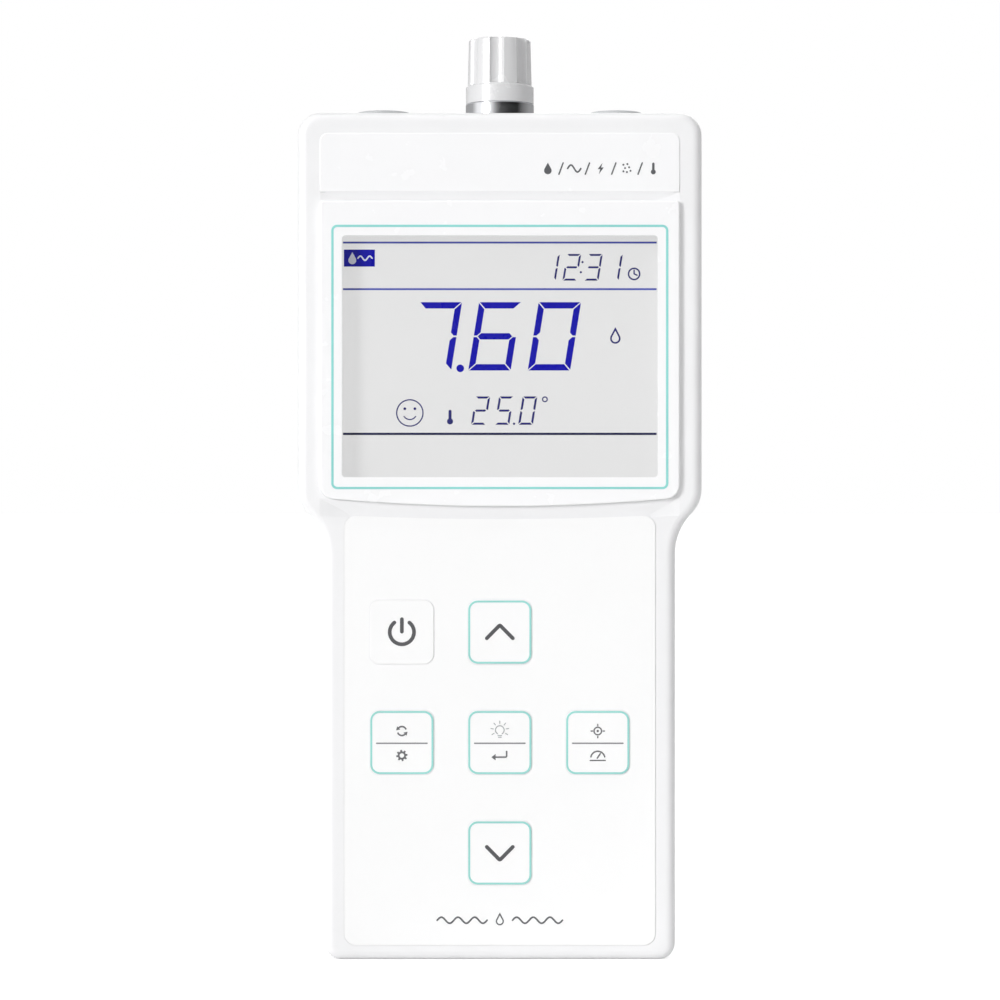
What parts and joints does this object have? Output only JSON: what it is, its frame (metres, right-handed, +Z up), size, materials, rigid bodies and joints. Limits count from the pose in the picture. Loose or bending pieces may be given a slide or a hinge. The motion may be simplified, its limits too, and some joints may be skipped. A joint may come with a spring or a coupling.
{
  "type": "portable conductivity meter",
  "caption": "Handheld conductivity meter with a wide screen head, narrower keypad grip, fluted dust cap on a coaxial socket, plugged jacks, flip-out stand and battery door.",
  "frame": {"origin": "middle of the bounding box on the flat bottom end the meter stands on", "axes": "+X to the right seen from the front, +Y towards the back, +Z up along the length towards the sockets; the screen faces -Y"},
  "size_m": [0.086, 0.033, 0.1976],
  "materials": {
    "shell_white": "fine matt moulding",
    "panel_white": "smooth",
    "sheet_white": "satin film",
    "key_white": "satin",
    "cap_white": "smooth moulding",
    "clear_pane": "polished",
    "display_grey": "satin",
    "diffuser_white": "frosted",
    "silicone_grey": "matt",
    "seal_black": "matt",
    "contact_rubber": "matt",
    "chrome_ring": "polished",
    "gold_contact": "plated",
    "insulator_white": "waxy",
    "board_green": "solder mask",
    "chip_black": "matt",
    "tin_steel": "tinned",
    "screw_steel": "plated",
    "cell_wrap": "printed sleeve",
    "lead_red": "smooth"
  },
  "bodies": {
    "housing": {"front_housing": "shell_white", "rear_housing": "shell_white", "header_panel": "panel_white", "display_bezel": "panel_white", "keypad_overlay": "sheet_white", "display_window": "clear_pane", "lcd_glass": "display_grey", "backlight": "diffuser_white", "lcd_holder": "insulator_white", "zebra_strips": "contact_rubber", "keypad_mat": "silicone_grey", "tactile_switches": "tin_steel", "main_pcb": "board_green", "board_components": "chip_black", "shield_can": "tin_steel", "pcb_screws": "screw_steel", "case_screws": "screw_steel", "screw_caps": "silicone_grey", "housing_gasket": "seal_black", "aa_cells": "cell_wrap", "battery_plates": "tin_steel", "battery_springs": "tin_steel", "bnc_body": "chrome_ring", "bnc_insulator": "insulator_white", "bnc_contact": "gold_contact", "bnc_nut": "chrome_ring", "bnc_washer": "screw_steel", "jack_nuts": "chrome_ring", "left_jack": "chip_black", "right_jack": "chip_black", "probe_leads": "lead_red"},
    "seal_disc": {"cap_liner": "seal_black"},
    "cap": {"dust_cap": "cap_white"},
    "plug_left": {"left_plug": "silicone_grey"},
    "plug_right": {"right_plug": "silicone_grey"},
    "stand": {"kickstand": "shell_white"},
    "door": {"battery_door": "shell_white", "battery_door_gasket": "seal_black", "battery_door_screws": "screw_steel"},
    "power_key_body": {"power_key": "key_white"},
    "up_key_body": {"up_key": "key_white"},
    "mode_key_body": {"mode_key": "key_white"},
    "enter_key_body": {"enter_key": "key_white"},
    "cal_key_body": {"cal_key": "key_white"},
    "down_key_body": {"down_key": "key_white"}
  },
  "joints": [
    {"name": "power_key_press", "type": "slide", "parent": "housing", "child": "power_key_body", "axis": [0, 1, 0], "range_m": [0, 0.0005], "stiffness_N_per_m": 3000},
    {"name": "up_key_press", "type": "slide", "parent": "housing", "child": "up_key_body", "axis": [0, 1, 0], "range_m": [0, 0.0005], "stiffness_N_per_m": 3000},
    {"name": "mode_key_press", "type": "slide", "parent": "housing", "child": "mode_key_body", "axis": [0, 1, 0], "range_m": [0, 0.0005], "stiffness_N_per_m": 3000},
    {"name": "enter_key_press", "type": "slide", "parent": "housing", "child": "enter_key_body", "axis": [0, 1, 0], "range_m": [0, 0.0005], "stiffness_N_per_m": 3000},
    {"name": "cal_key_press", "type": "slide", "parent": "housing", "child": "cal_key_body", "axis": [0, 1, 0], "range_m": [0, 0.0005], "stiffness_N_per_m": 3000},
    {"name": "down_key_press", "type": "slide", "parent": "housing", "child": "down_key_body", "axis": [0, 1, 0], "range_m": [0, 0.0005], "stiffness_N_per_m": 3000},
    {"name": "cap_lift", "type": "slide", "parent": "housing", "child": "seal_disc", "axis": [0, 0, 1], "range_m": [0, 0.0022]},
    {"name": "cap_turn", "type": "hinge", "parent": "seal_disc", "child": "cap", "pos_m": [0, 0, 0.19], "axis": [0, 0, 1], "range_deg": [0, 92]},
    {"name": "left_plug_pull", "type": "slide", "parent": "housing", "child": "plug_left", "axis": [0, 0, 1], "range_m": [0, 0.009]},
    {"name": "right_plug_pull", "type": "slide", "parent": "housing", "child": "plug_right", "axis": [0, 0, 1], "range_m": [0, 0.009]},
    {"name": "kickstand_swing", "type": "hinge", "parent": "housing", "child": "stand", "pos_m": [0, 0.0144, 0.142], "axis": [1, 0, 0], "range_deg": [0, 57]},
    {"name": "battery_door_lift", "type": "slide", "parent": "housing", "child": "door", "axis": [0, 1, 0], "range_m": [0, 0.02]}
  ],
  "couplings": [
    {"joint": "cap_turn", "follows": "cap_lift", "rad_per_m": 714}
  ]
}
